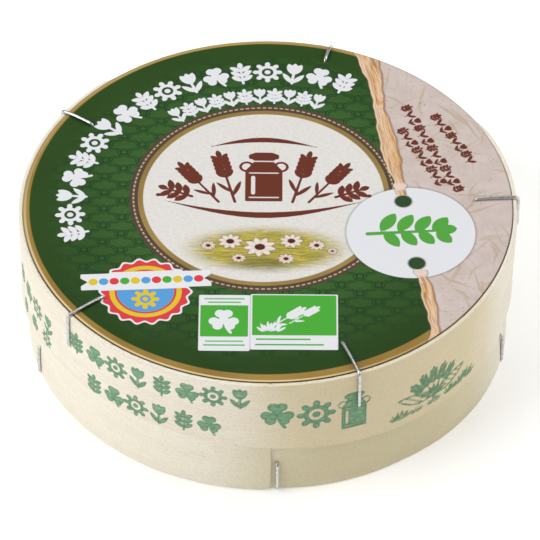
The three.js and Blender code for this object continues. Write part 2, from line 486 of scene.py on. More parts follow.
hoops = {  # each as bent: radius outside, thickness, azimuth of the visible end, lower and upper edge
    "lid": {"Radius": 57.5, "Veneer": 0.95, "Seam": 81.0, "Bottom": 15.1, "Top": 35.6, "Warp": 1.7,
            "Left Drop": 2.6, "Right Drop": 2.0, "Back Dip": 1.15, "Bulge": 0.0, "Pinch": 0.35,
            "Corner Chip": 0.5, "Segments": 860, "Rows": 50, "Seed": 3.0},
    "base": {"Radius": 56.1, "Veneer": 0.9, "Seam": 271.0, "Bottom": 0.0, "Top": 33.15, "Warp": 0.0,
             "Left Drop": 0.0, "Right Drop": 0.0, "Back Dip": 0.0, "Bulge": 0.6, "Pinch": 0.2,
             "Corner Chip": 1.3, "Segments": 620, "Rows": 34, "Seed": 8.0},
}
lap = {"angle": 26.0, "ease": 14.0, "buriedShare": 0.5, "outerShare": 0.62, "gap": 0.04}
surface = {"ripple": 0.11, "fray": 0.17, "rounding": 0.16, "chipReach": 1.4}
# azimuths of the places where the strips are uneven
spots = {"left": 194, "right": 2, "dip": 80, "bulge": 334, "pinch": 350}


def toward(azimuth, degrees):
    # 1 at an azimuth, falling as a cosine away from it
    return (azimuth - math.radians(degrees)).math("COSINE")


def hoopTree(material):
    tree = GeometryBench("bentVeneer", hoops["lid"])
    bench = tree.bench
    sheet = bench.node("GeometryNodeMeshCube", {}, {
        "Size": (1, 1, 1), "Vertices X": tree["Segments"] + 1, "Vertices Y": 4,
        "Vertices Z": tree["Rows"] + 1})
    x, y, z = positionOf(bench)
    run = (x + 0.5) * (360 + lap["angle"])  # degrees along the strip
    depth = 0.5 - y  # 0 at the inner face, 1 at the outer
    rise = z + 0.5
    buried = run.smooth(lap["angle"], lap["angle"] + lap["ease"], 1.0, 0.0)
    over = run.smooth(360 - lap["ease"], 360, 0.0, 1.0)
    veneer = tree["Veneer"]
    inner = tree["Radius"] - veneer + over * (veneer * lap["buriedShare"] + lap["gap"])
    thickness = veneer * (1 - buried * (1 - lap["buriedShare"]) - over * (1 - lap["outerShare"]))
    azimuth = (tree["Seam"] - (360 + lap["angle"]) + run) * math.radians(1)
    arc = run * math.radians(1) * tree["Radius"]
    low = tree["Bottom"] + tree["Warp"] * (azimuth * 2).math("SINE")
    low = low - tree["Left Drop"] * toward(azimuth, spots["left"]).smooth(0.955, 1.0)
    low = low - tree["Right Drop"] * toward(azimuth, spots["right"]).smooth(0.96, 1.0)
    # behind, the rim lies a little below the label
    top = tree["Top"] - tree["Back Dip"] * toward(azimuth, spots["dip"]).smooth(0.58, 0.68)
    height = low + rise * (top - low)
    # the strip waves a little, and its cut edges are rounded and frayed
    wave = noiseAt(bench, together(bench, arc * 0.045, height * 0.03, tree["Seed"]), 1.0, 2.0)
    fray = noiseAt(bench, together(bench, arc * 0.7, rise * 9, tree["Seed"] + 4), 1.0, 3.0, 0.7)
    edge = (rise * 2 - 1).math("ABSOLUTE").smooth(0.9999, 1.0)
    crown = (depth * 2 - 1) * (depth * 2 - 1) * surface["rounding"]
    crown = crown + fray.smooth(0.42, 0.75) * surface["fray"]
    fromEnd = (360 + lap["angle"] - run) * math.radians(1) * tree["Radius"]
    chip = fromEnd.smooth(0, surface["chipReach"], 1.0, 0.0) * tree["Corner Chip"]
    chip = chip * rise.smooth(0.0, 0.06, 1.0, 0.0)
    upOrDown = rise.smooth(0.4, 0.6, 1.0, -1.0)
    height = height + edge * crown * upOrDown + chip
    radius = inner + depth * thickness - wave.smooth(0.3, 0.7) * surface["ripple"] * depth
    # the foot of the base springs outwards on one side
    foot = toward(azimuth, spots["bulge"]).smooth(0.85, 1.0) * rise.smooth(0.0, 0.45, 1.0, 0.0)
    waist = toward(azimuth, spots["pinch"]).smooth(0.94, 1.0) * rise.smooth(0.2, 0.8, 1.0, 0.0)
    radius = radius + tree["Bulge"] * foot - tree["Pinch"] * waist
    placed = moved(sheet, *aroundAxis(azimuth, radius), height * mm)
    grain = bench.node("GeometryNodeStoreNamedAttribute", {"data_type": "FLOAT_VECTOR", "domain": "POINT"}, {
        "Geometry": sheet, "Name": "grain", "Value": together(bench, arc, height, depth)})
    bench.tree.links.new(grain.socket, placed.maker.inputs["Geometry"])
    tree.close(placed, material)
    return tree


def polar(mesh):
    # azimuth in degrees, height and radius in millimetres of every vertex
    flat = np.empty(len(mesh.vertices) * 3)
    mesh.vertices.foreach_get("co", flat)
    place = flat.reshape(-1, 3) / mm
    azimuth = np.degrees(np.arctan2(place[:, 1], place[:, 0])) % 360
    return azimuth, place[:, 2], np.hypot(place[:, 0], place[:, 1]), place


def sink(mesh, dents):
    # small dents round the wire's ends: azimuth, height, reach, depth
    azimuth, height, radius, place = polar(mesh)
    for where, level, reach, depth in dents:
        aside = ((azimuth - where + 180) % 360 - 180) * math.radians(1) * radius
        press = depth * np.exp(-(aside ** 2 + (height - level) ** 2) / reach ** 2)
        place[:, :2] *= (1 - press / radius)[:, None]
    mesh.vertices.foreach_set("co", (place * mm).ravel())


bandPrint = {  # first and last azimuth, number of motifs, height at each end, scale
    "upper row": (221.5, 264.0, 8, (28.9, 31.0), 0.98),
    "lower row": (227.0, 257.0, 6, (19.6, 21.4), 0.98),
    "side upper row": (191.5, 209.5, 4, (24.8, 24.6), 0.9),
    "side lower row": (194.5, 208.5, 3, (17.4, 19.4), 0.72),
    "large": (272.4, 290.0, 3, (26.2, 24.4), 1.34),
}
sheafStamp = {"azimuth": 311.0, "level": 22.9, "scale": 1.12, "reach": 14.0}


def inkField(azimuth, height, radius):
    # leaf, flower and farmyard stamps round the lid; the same set stands at the back
    field = np.full(len(azimuth), far)
    radiusOut = hoops["lid"]["Radius"]
    for turn in (0, 180):
        behind = (azimuth - turn) % 360
        for title, (first, last, count, levels, scale) in bandPrint.items():
            motifs = (clover, sunwheel, churn) if title == "large" else (sprig, clover, sunwheel, tulip)
            for k in range(count):
                share = k / (count - 1)
                where = first + (last - first) * share
                level = levels[0] + (levels[1] - levels[0]) * share
                if turn and title == "side lower row":
                    level += 1.8  # the lid's edge isn't as low there
                motif = motifs[k % len(motifs)]
                size = scale * (0.82 if motif is churn else 1.0)
                p = np.stack([(behind - where) * math.radians(1) * radiusOut, height - level], axis=1)
                field = np.minimum(field, stamp(p, motif, (0, 0), 0, size))
        aside = (behind - sheafStamp["azimuth"]) * math.radians(1) * radiusOut
        p = np.stack([aside, height - sheafStamp["level"]], axis=1)
        field = join(field, stamp(p, sheaf, (0, 0), 0, sheafStamp["scale"], sheafStamp["reach"]))
        for x, size in ((-9.6, 0.9), (-5.0, 0.6), (0.0, 0.7), (5.5, 0.8), (10.4, 1.1)):
            field = np.minimum(field, stamp(p, tuft, (x, -7.2 + size * 2.6), 0, size))
    return np.where(radius > 56.9, field, far)


woods = {  # pale and deep tone of the sheet, the darker yellower tone on the front-right side (partly the wood's own tone, partly painted shade), and how far round that reaches
    "poplarInked": ("#f6f0e3", "#efe7d5", "#dccca2", 0.77, 0.95),
    "poplarPlain": ("#f6f1e3", "#f1ebda", "#cfc49a", 0.68, 0.98),
}


def veneerMaterial(name, inked):
    # pale poplar: faint grain along the strip, soft pink and cream mottling, tiny pores, and painted shade
    # on the front-right side
    material, bench = newMaterial(name)
    pale, deep, yellow, start, full = woods[name]
    sheet = attribute(bench, "grain")
    _, _, depth = apart(bench, sheet)
    broad = noiseAt(bench, stretched(bench, sheet, (0.02, 0.16, 0.4)), 1.0, 4.0, 0.55)
    streak = noiseAt(bench, stretched(bench, sheet, (0.05, 1.7, 1.0)), 1.0, 4.0, 0.6, 0.4)
    fine = noiseAt(bench, stretched(bench, sheet, (0.22, 9.0, 3.0)), 1.0, 3.0, 0.65)
    pores = noiseAt(bench, stretched(bench, sheet, (1.6, 14.0, 6.0)), 1.0, 2.0, 0.6)
    rosy = noiseAt(bench, stretched(bench, sheet, (0.045, 0.22, 0.4)), 1.0, 2.0)
    colour = broad.smooth(0.3, 0.7).over(paint(deep), paint(pale))
    ox, oy, _ = apart(bench, objectMm(bench))
    # painted shade: the front-right side turns darker and yellower, partly the wood's own tone and partly
    # the shade that side is in
    side = (toward(oy.math("ARCTAN2", ox), 300) + (broad - 0.5) * 0.1).smooth(start, full)
    colour = (side * 0.85).over(colour, paint(yellow))
    colour = (rosy.smooth(0.5, 0.78) * 0.25).over(colour, paint("#eed8c2"))
    colour = (streak.smooth(0.5, 0.75) * 0.16).over(colour, paint("#cfbf9a"))
    colour = (fine.smooth(0.44, 0.7) * 0.42).over(colour, paint("#cab88e"))
    pore = pores.smooth(0.56, 0.68)
    colour = (pore * 0.55).over(colour, paint("#ad986a"))
    colour = (pores.smooth(0.4, 0.3) * 0.5).over(colour, paint("#fbf8ee"))
    knot = noiseAt(bench, stretched(bench, sheet, (0.11, 0.34, 1.0)), 1.0, 1.0)
    colour = (knot.smooth(0.79, 0.83) * 0.55).over(colour, paint("#c9924f"))
    # the cut edges show paler, woollier wood
    rim = (depth * 2 - 1).math("ABSOLUTE").smooth(0.99, 0.7)
    colour = (rim * 0.5).over(colour, paint("#f2eede"))
    relief = fine * 0.5 + streak * 0.2 - pore * 0.4
    roughness = 0.62 + fine * 0.12
    if inked:
        edge = bench.node("ShaderNodeAttribute", {"attribute_name": "ink"}).output("Fac")
        ragged = noiseAt(bench, stretched(bench, sheet, (2.4, 3.4, 1.0)), 1.0, 3.0, 0.6)
        blot = noiseAt(bench, stretched(bench, sheet, (0.9, 1.3, 1.0)), 1.0, 4.0, 0.65)
        mask = (edge + (ragged - 0.5) * 0.34).printed(0.22)
        squeezed = (edge + 0.42).smooth(-0.1, 0.4)  # ink pushed out to a darker rim
        ink = blot.smooth(0.3, 0.7).over(paint("#7bb48a"), paint("#377b51"))
        ink = (fine.smooth(0.48, 0.64) * 0.6).over(ink, paint("#9cc39c"))
        ink = (pores.smooth(0.5, 0.38) * 0.55).over(ink, paint("#2f6f49"))
        ink = (squeezed * 0.75).over(ink, paint("#35704a"))
        ink = (ragged.smooth(0.58, 0.72) * 0.7).over(ink, paint("#265739"))
        worn = 1 - streak.smooth(0.55, 0.75) * 0.35
        colour = (mask * worn * 0.94).over(colour, ink)
    closeMaterial(bench, colour, roughness, relief, 0.05)
    return material


staples = {
    "wireRadius": 0.4, "bend": 0.8, "pressed": 0.05, "bow": 0.16, "dentReach": 0.8, "dentDepth": 0.16,
    "lidTipHeight": 34.0, "lidTipRadius": 56.9, "baseTipHeight": 1.6, "baseTipRadius": 55.6,
    "underGap": 0.12,
    "lidAzimuths": [3, 75, 147, 219, 291], "lidTopLegs": [9.7, 6.2, 8.4, 9.9, 10.6],
    "lidSideLegs": [8.4, 8.2, 9.0, 9.4, 10.2], "lidCornerDrops": [0.0, 1.25, 0.1, 0.0, 0.0],
    "baseAzimuths": [56.5, 128.5, 200.5, 272.5, 344.5], "baseUnderLeg": 8.5,
    "baseSideLegs": [8.6, 8.4, 8.9, 8.6, 9.0], "baseStandouts": [0.0, 0.0, 0.0, 0.0, 0.25],
}


def lapStandout(hoop, azimuth):
    # how far the outer face stands out where the strip has climbed onto its own start
    beforeSeam = (hoop["Seam"] - azimuth) % 360
    t = min(max((beforeSeam - lap["angle"]) / lap["ease"], 0), 1)
    rise = hoop["Veneer"] * (lap["buriedShare"] + lap["outerShare"] - 1) + lap["gap"]
    return rise * (1 - t * t * (3 - 2 * t))


def makeHoops():
    tree = hoopTree(veneerMaterial("poplarInked", True))
    plain = veneerMaterial("poplarPlain", False)
    lidHoop = tree.run("lid_hoop", hoops["lid"])
    dent = staples["dentReach"], staples["dentDepth"]
    lidLegs = zip(staples["lidAzimuths"], staples["lidSideLegs"])
    sink(lidHoop.data, [(a, hoops["lid"]["Top"] - leg, *dent) for a, leg in lidLegs])
    azimuth, height, radius, _ = polar(lidHoop.data)
    ink = lidHoop.data.attributes.new("ink", "FLOAT", "POINT")
    ink.data.foreach_set("value", inkField(azimuth, height, radius).astype(np.float32))
    shadeSmooth(lidHoop.data)
    adopt(lidHoop, "veneer", "lid_band")
    baseHoop = tree.run("base_hoop", hoops["base"])
    baseLegs = zip(staples["baseAzimuths"], staples["baseSideLegs"])
    sink(baseHoop.data, [(a, leg, *dent) for a, leg in baseLegs])
    baseHoop.data.materials.clear()
    baseHoop.data.materials.append(plain)
    shadeSmooth(baseHoop.data)
    adopt(baseHoop, "veneer", "base_band")


makeHoops()
print("hoops bent")


# staples

def wireMaterial():
    # drawn galvanised wire, dulled and a little scratched
    material, bench = newMaterial("stapleWire")
    place = objectMm(bench)
    cloud = noiseAt(bench, place, 1.1, 3.0)
    scratch = noiseAt(bench, stretched(bench, place, (5, 5, 5)), 1.0, 4.0, 0.7)
    colour = cloud.smooth(0.35, 0.65).over(paint("#d4d5d4"), paint("#b9bbbb"))
    colour = (scratch.smooth(0.64, 0.76) * 0.25).over(colour, paint("#92928f"))
    closeMaterial(bench, colour, 0.24 + cloud * 0.12, scratch, 0.002, Metallic=1.0)
    return material


def stapleTree(material):
    # five corners of one bent wire in its own plane: tip, inner corner, outer corner, side corner, side tip
    route = ["Tip Height", "Tip Radius", "Across Height", "Beside Radius", "Side Height", "Side Radius"]
    tree = GeometryBench("bentWire", {**{title: 1.0 for title in route}, "Azimuth": 0.0, "Wire": 0.42,
                                      "Bend": 0.8, "Bow": 0.1, "Corner Drop": 0.0})
    bench = tree.bench
    line = bench.node("GeometryNodeMeshLine", {}, {"Count": 5})
    corners = [("Tip Radius", "Tip Height"), ("Tip Radius", "Across Height"),
               ("Beside Radius", "Across Height"),
               ("Beside Radius", "Side Height"), ("Side Radius", "Side Height")]
    index = bench.node("GeometryNodeInputIndex")
    x, z = 0.0, 0.0
    for k, (out, up) in enumerate(corners):
        here = index.math("COMPARE", k, 0.5)
        x = here * tree[out] + x
        z = here * tree[up] + z
    bent = moved(line, x * mm, 0.0, z * mm)
    wire = bent.node("GeometryNodeMeshToCurve", {}, {"Mesh": bent})
    wire = wire.node("GeometryNodeFilletCurve", {"mode": "POLY"}, {
        "Curve": wire, "Radius": tree["Bend"] * mm, "Count": 5, "Limit Radius": True})
    wire = wire.node("GeometryNodeResampleCurve", {"mode": "LENGTH"}, {"Curve": wire, "Length": 0.35 * mm})
    px, py, pz = positionOf(bench)
    share = (px / mm - tree["Tip Radius"]) / (tree["Beside Radius"] - tree["Tip Radius"])
    bow = (share.clamped() * math.pi).math("SINE") * tree["Bow"]
    lift = (bow - share.smooth(0.55, 1.0) * tree["Corner Drop"]) * mm
    wire = moved(wire, px, py, pz + lift)
    gauge = bench.node("GeometryNodeCurvePrimitiveCircle", {},
                       {"Resolution": 12, "Radius": tree["Wire"] * mm})
    rod = wire.node("GeometryNodeCurveToMesh", {},
                    {"Curve": wire, "Profile Curve": gauge, "Fill Caps": True})
    turn = together(bench, 0.0, 0.0, tree["Azimuth"] * math.radians(1))
    rod = rod.node("GeometryNodeTransform", {}, {"Geometry": rod, "Rotation": turn})
    tree.close(rod, material)
    return tree


def makeStaples():
    tree = stapleTree(wireMaterial())
    gauge = staples["wireRadius"]
    common = {"Wire": gauge, "Bend": staples["bend"]}
    lidRadius, lidTop = hoops["lid"]["Radius"], hoops["lid"]["Top"]
    for k, azimuth in enumerate(staples["lidAzimuths"]):
        outside = lidRadius + lapStandout(hoops["lid"], azimuth)
        wire = tree.run(f"lid_wire_{k + 1}", {
            **common, "Azimuth": azimuth, "Tip Height": staples["lidTipHeight"],
            "Tip Radius": lidRadius - staples["lidTopLegs"][k],
            "Across Height": lidTop + gauge - staples["pressed"],
            "Beside Radius": outside + gauge - staples["pressed"],
            "Side Height": lidTop - staples["lidSideLegs"][k], "Side Radius": staples["lidTipRadius"],
            "Bow": staples["bow"],
            "Corner Drop": staples["lidCornerDrops"][k]})
        shadeSmooth(wire.data, 60)
        adopt(wire, "wire", f"lid_staple_{k + 1}")
    for k, azimuth in enumerate(staples["baseAzimuths"]):
        outside = hoops["base"]["Radius"] + lapStandout(hoops["base"], azimuth)
        wire = tree.run(f"base_wire_{k + 1}", {
            **common, "Azimuth": azimuth, "Tip Height": staples["baseTipHeight"],
            "Tip Radius": hoops["base"]["Radius"] - staples["baseUnderLeg"],
            "Across Height": gauge + staples["underGap"],
            "Beside Radius": outside + staples["baseStandouts"][k] + gauge - staples["pressed"],
            "Side Height": staples["baseSideLegs"][k], "Side Radius": staples["baseTipRadius"], "Bow": 0.0})
        shadeSmooth(wire.data, 60)
        adopt(wire, "wire", f"base_staple_{k + 1}")


makeStaples()
print("staples bent")


# the printed paper label

label = {"radius": 56.42, "centre": (-0.06, 0.07), "top": 35.58, "thickness": 0.2, "spacing": 0.37,
         "rim": 720,
         "wave": 0.1}
layout = {  # places on the label in millimetres from the lid's axis, +Y to the back
    "medallion": (-1.0, 3.1), "tag": (32.8, -8.4), "tagRadius": 14.8,
    "garland": (45.6, 191.8, 67.0, 17), "smallGarland": (37.4, 125.0, 72.0, 11),  # radius, azimuths, motifs
    "seal": (-27.6, -28.0), "ribbonTilt": 3.4, "upperHole": (31.2, 1.9), "lowerHole": (34.0, -18.4),
}


def flatDisc():
    # a close triangular grid inside an even ring, so that the print's edges stay crisp
    rise = label["spacing"] * math.sqrt(3) / 2
    rows = int(label["radius"] / rise)
    points = []
    for row in range(-rows, rows + 1):
        shift = label["spacing"] / 2 * (row % 2)
        reach = label["radius"] - label["spacing"] * 0.6
        half = math.sqrt(max(reach * reach - (row * rise) ** 2, 0))
        first = math.ceil((-half - shift) / label["spacing"])
        last = math.floor((half - shift) / label["spacing"])
        points += [(shift + k * label["spacing"], row * rise) for k in range(first, last + 1)]
    count = label["rim"]
    angles = [2 * math.pi * k / count for k in range(count)]
    ring = [(label["radius"] * math.cos(a), label["radius"] * math.sin(a)) for a in angles]
    edges = [(k, (k + 1) % count) for k in range(count)]
    corners = [Vector(v) for v in ring + points]
    verts, _, faces, *_ = geometry.delaunay_2d_cdt(corners, edges, [], 1, 1e-7, False)
    return np.array([tuple(v) for v in verts]) + np.array(label["centre"]), [list(f) for f in faces], count


def flourish(p, start, end, sag, thick):
    # a swelling pen stroke along a shallow arc
    steps = 14
    a, b = np.array(start, float), np.array(end, float)
    normal = np.array([-(b - a)[1], (b - a)[0]]) / np.hypot(*(b - a))
    route = [a + (b - a) * t + normal * sag * math.sin(math.pi * t) for t in np.linspace(0, 1, steps)]
    widths = [0.1 + thick * math.sin(math.pi * t) ** 1.5 for t in np.linspace(0, 1, steps)]
    parts = [stroke(p, route[k], route[k + 1], widths[k], widths[k + 1]) for k in range(steps - 1)]
    return join(*parts)


def whitePrint(p):
    fields = []
    sizes = {sprig: 1.1, sunwheel: 1.04, tulip: 1.08, clover: 1.1}
    for title, motifs, scale in (("garland", (sprig, sunwheel, tulip, clover), 1.0),
                                 ("smallGarland", (tulip, sprig), 0.74)):
        radius, first, last, count = layout[title]
        for k in range(count):
            azimuth = first + (last - first) * k / (count - 1)
            a = math.radians(azimuth)
            motif = motifs[k % len(motifs)]
            where = (radius * math.cos(a), radius * math.sin(a))
            fields.append(stamp(p, motif, where, azimuth - 90, scale * sizes[motif]))
    return join(*fields)


smallRows = [  # start, end and count of the rows on the undyed paper
    ((39.2, 30.4), (47.2, 15.8), 8), ((32.4, 33.4), (44.0, 6.2), 13), ((31.4, 25.6), (40.0, 8.4), 9),
]


def brownPrint(p):
    fields = [stamp(p, churn, (-1.0, 9.6), 0, 1.6, 9)]
    for side in (-1, 1):
        fields += [
            stamp(p, wheat, (-1.0 + side * 8.6, 9.2), -side * 14, 1.62),
            stamp(p, wheat, (-1.0 + side * 14.8, 7.4), -side * 36, 1.5),
            stamp(p, sprig, (-1.0 + side * 20.4, 4.8), -side * 66, 1.3),
            disk(p, (-1.0 + side * 24.4, 3.6), 0.55),
        ]
    fields.append(flourish(p, (-23.6, 1.6), (21.6, 1.6), -4.6, 0.85))
    fields.append(flourish(p, (-13.5, 19.8), (11.5, 19.8), 2.4, 0.7))
    # three slanted rows of small leaves on the undyed paper
    for start, end, count in smallRows:
        lean = math.degrees(math.atan2(end[1] - start[1], end[0] - start[0]))
        for k in range(count):
            t = k / (count - 1)
            where = (start[0] + (end[0] - start[0]) * t, start[1] + (end[1] - start[1]) * t)
            motif, size = ((sprig, 0.5), (pair, 0.95), (tulip, 0.5))[k % 3]
            fields.append(stamp(p, motif, where, lean, size))
    return join(*fields)


def tagPrint(p):
    # one leafy twig across the tag
    x, y = layout["tag"][0], layout["tag"][1] + 1.1
    leaves = []
    for k in range(4):
        t = -6.9 + 4.0 * k
        leaves += [leaf(p, (x + t, y - 0.7), (x + t + 3.4, y + 5.2 - 0.4 * k), 1.6),
                   leaf(p, (x + t + 0.8, y - 0.7), (x + t + 4.2, y - 5.8 + 0.5 * k), 1.5)]
    stem = stroke(p, (x - 9.9, y - 1.6), (x + 7.6, y - 0.3), 0.55, 0.34)
    return join(stem, leaf(p, (x + 6.6, y - 0.3), (x + 10.6, y + 0.4), 1.5), *leaves)


def sealPrint(p):
    # a plain rosette with a ribbon across it: white ground, red, yellow, blue and the ribbon's dots
    x, y = layout["seal"]
    offset = p - np.array(layout["seal"])
    around = np.arctan2(offset[:, 1], offset[:, 0])
    reach = np.hypot(offset[:, 0], offset[:, 1])
    rosette = reach - 9.7 - 0.45 * np.cos(18 * around)
    tilt = layout["ribbonTilt"]
    across = turned(p - np.array([x, y + 3.6]), -tilt)
    ribbon = plate(across, (0, 0), 14.8, 2.55)
    for side in (-1, 1):
        ribbon = cut(ribbon, shape(across, [(side * 15.4, 1.7), (side * 13.2, 0), (side * 15.4, -1.7)]))
    dots = [disk(across, (-12.0 + 2.4 * k, 0), 1.08) for k in range(11)]
    keep = ribbon - 0.35
    yellow = np.maximum(np.abs(reach - 7.6) - 0.6, -keep)
    yellow = join(yellow, *dots[0::4], stamp(p, sunwheel, (x, y - 2.4), 0, 0.95))
    blue = join(np.maximum(reach - 6.5, -keep), *dots[1::4])
    red = join(np.maximum(rosette, -keep), *dots[2::4])
    green = join(*dots[3::4])
    white = join(rosette - 0.55, ribbon)
    return white, red, yellow, blue, green


def panelPrint(p):
    # two bordered panels: white ground, green field with white motifs left out, thin green lines
    ground = join(plate(p, (-9.7, -37.8), 5.75, 8.8, 0.2), plate(p, (6.1, -37.4), 9.85, 8.75, 0.2))
    field = join(plate(p, (-9.7, -37.2), 5.4, 4.95), plate(p, (6.1, -35.3), 9.5, 6.35))
    motifs = join(stamp(p, clover, (-9.8, -37.0), 0, 1.2), stamp(p, wheat, (4.4, -36.2), -52, 0.95),
                  stamp(p, wheat, (8.2, -35.4), -52, 0.8), stamp(p, tuft, (0.6, -38.0), 0, 1.0))
    ruled = ((-30.2, 4.6), (-31.3, 3.8), (-43.6, 4.4), (-44.8, 4.8))  # height and half length
    lines = [plate(p, (-9.7, y), width, 0.2) for y, width in ruled]
    lines += [plate(p, (3.6, -42.9), 6.2, 0.24), plate(p, (5.0, -44.6), 7.8, 0.24)]
    return ground, join(cut(field, motifs), *lines)


tie = {  # stations down the strip: distance to the back, middle, half its width
    "upper": [(55.5, 22.3, 3.1), (49.6, 23.7, 2.4), (45.7, 24.5, 2.2), (41.8, 25.3, 1.6), (33.0, 26.1, 1.25),
              (25.1, 27.5, 1.9), (16.2, 28.8, 2.05), (11.8, 29.6, 1.5), (8.2, 30.3, 0.95), (7.2, 30.5, 1.7),
              (5.8, 30.6, 1.1), (3.6, 31.0, 0.95)],
    "lower": [(-20.2, 34.6, 1.3), (-21.4, 34.9, 1.5), (-22.8, 35.3, 0.95), (-26.0, 36.0, 1.35),
              (-30.4, 36.7, 1.5),
              (-35.0, 37.4, 1.15), (-39.3, 37.8, 0.9), (-43.0, 37.6, 1.4)],
    "slit": (51.8, 23.9, 3.6, 0.34),  # a gap between two strands: place, middle, half length, half width
}


def tieLine(p):
    # the twisted paper tie, from the rim into the tag's upper hole and from the lower one on to the rim
    y = p[:, 1]
    stations = sorted(tie["upper"] + tie["lower"])
    places, middles, halves = (np.array(column) for column in zip(*stations))
    middle = np.interp(y, places, middles) + 0.12 * np.sin(y * 0.9)
    half = np.interp(y, places, halves) + 0.07 * np.sin(y * 1.7)
    across = p[:, 0] - middle
    gap = np.abs(across) - half
    place, centre, length, width = tie["slit"]
    slit = width * (1 - ((y - place) / length) ** 2) - np.abs(p[:, 0] - centre + (y - place) * 0.35)
    gap = np.maximum(gap, slit)
    hidden = (y < tie["upper"][-1][0]) & (y > tie["lower"][0][0])
    return np.where(hidden, far, gap), across


def paperFibres(p):
    # long pale fibres lying at all angles in the undyed paper
    pick = random.Random(21)
    fields = []
    for _ in range(120):
        x, y, lean = pick.uniform(24, 56), pick.uniform(-44, 50), pick.uniform(0, math.pi)
        half, thick = pick.uniform(2, 6), pick.uniform(0.12, 0.42)
        bow = pick.uniform(-1.2, 1.2)
        tip = (x + half * math.cos(lean), y + half * math.sin(lean))
        tail = (x - half * math.cos(lean), y - half * math.sin(lean))
        middle = (x - bow * math.sin(lean), y + bow * math.cos(lean))
        fields += [stroke(p, tail, middle, thick * 0.4, thick), stroke(p, middle, tip, thick, thick * 0.3)]
    return join(*fields)


meadow = {
    "middle": (-0.4, -14.2), "reach": (18.4, 7.4), "flattened": (1.0, 1.2), "heart": 0.95,
    "flowers": [  # place and size
        ((-13.6, -13.0), 0.62), ((-8.6, -11.6), 1.0), ((-1.8, -13.4), 1.3), ((5.4, -11.4), 0.95),
        ((11.2, -12.8), 0.7), ((-6.6, -17.0), 0.6), ((4.2, -17.2), 0.68), ((14.8, -14.6), 0.45),
    ],
}


def meadowFields(p):
    # grass that thins out at its rim, petals, and the flowers' hearts
    offset = (p - np.array(meadow["middle"])) / np.array(meadow["reach"])
    grass = 1.25 - np.hypot(offset[:, 0], offset[:, 1])
    petals = np.full(len(p), far)
    hearts = np.full(len(p), far)
    for centre, scale in meadow["flowers"]:
        q = turned((p - np.array(centre)) / scale * np.array(meadow["flattened"]), centre[0] * 9)
        petals = np.minimum(petals, daisy(q) * scale)
        hearts = np.minimum(hearts, disk(q, (0, 0), meadow["heart"]) * scale)
    return grass, petals, hearts


def labelFields(p):
    white, red, yellow, blue, dots = sealPrint(p)
    ground, panel = panelPrint(p)
    strip, across = tieLine(p)
    grass, petals, hearts = meadowFields(p)
    return {
        "printA": (whitePrint(p), brownPrint(p), tagPrint(p)),
        "printB": (join(ground, white), join(panel, dots), red),
        "printC": (yellow, blue, -across),
        "printD": (strip, across, paperFibres(p)),
        "printE": (petals, hearts, grass),
    }


rings = {  # radii of the printed edges, of the painted highlight and of the painted shadow at the paper's edge; the first three run round the rim, the rest round the medallion
    "goldEdge": 54.7, "brightLine": 55.75, "cutEdge": 56.2,
    "brown": 31.1, "beads": 30.1, "gold": 29.1, "cream": 27.85, "beadCount": 142,
}
fans = {  # tone-on-tone clouds, each a disc with a lobed rim, and a little fan peeping out below it
    "width": 8.4, "step": 2.7, "squash": 0.84, "radius": 2.9, "lobe": 0.75, "lobes": 8.0, "second": 0.68,
    "small": -1.2, "smallOuter": 1.2, "smallInner": 0.62,
}


def cloudFans(x, y):
    # rows half a cloud apart, each in front of the one behind: thin dark lines and paler bodies
    width, step = fans["width"], fans["step"]
    first = ((y - fans["radius"] - fans["lobe"]) / step).math("CEIL")
    covered, edge, aside, above = 0.0, 0.0, 0.0, 0.0
    for row in range(3):
        index = first + row
        shift = (index * 0.5).math("FRACT") * width
        dx = (((x + shift) / width).math("FRACT") - 0.5) * (width * fans["squash"])
        dy = y - index * step
        lobe = (dx.math("ARCTAN2", dy) * (fans["lobes"] / 2)).math("COSINE").math("ABSOLUTE").math("SQRT")
        cloud = (dx * dx + dy * dy).math("SQRT") - fans["radius"] - lobe * fans["lobe"]
        take = cloud.math("LESS_THAN", 0.0) * (1 - covered)
        edge, aside, above = cloud * take + edge, dx * take + aside, dy * take + above
        covered = take + covered
    up = above - fans["small"]
    small = (aside * aside + up * up).math("SQRT")
    inSmall = small.math("LESS_THAN", fans["smallOuter"])
    lines = edge.smooth(-0.34, -0.14) + (edge + fans["second"]).math("ABSOLUTE").smooth(0.08, 0.2, 0.85, 0.0)
    outer = fans["smallOuter"]
    lines = lines * (1 - inSmall) + small.smooth(outer - 0.24, outer - 0.08) * inSmall
    lines = lines + (small - fans["smallInner"]).math("ABSOLUTE").smooth(0.06, 0.18, 0.8, 0.0) * inSmall
    bodies = edge.smooth(-0.2, -0.3) * (1 - inSmall) + small.smooth(outer, fans["smallInner"]) * inSmall
    return lines.clamped(), bodies


def ringAround(x, y, centre):
    dx, dy = x - centre[0], y - centre[1]
    return (dx * dx + dy * dy).math("SQRT"), dy.math("ARCTAN2", dx)


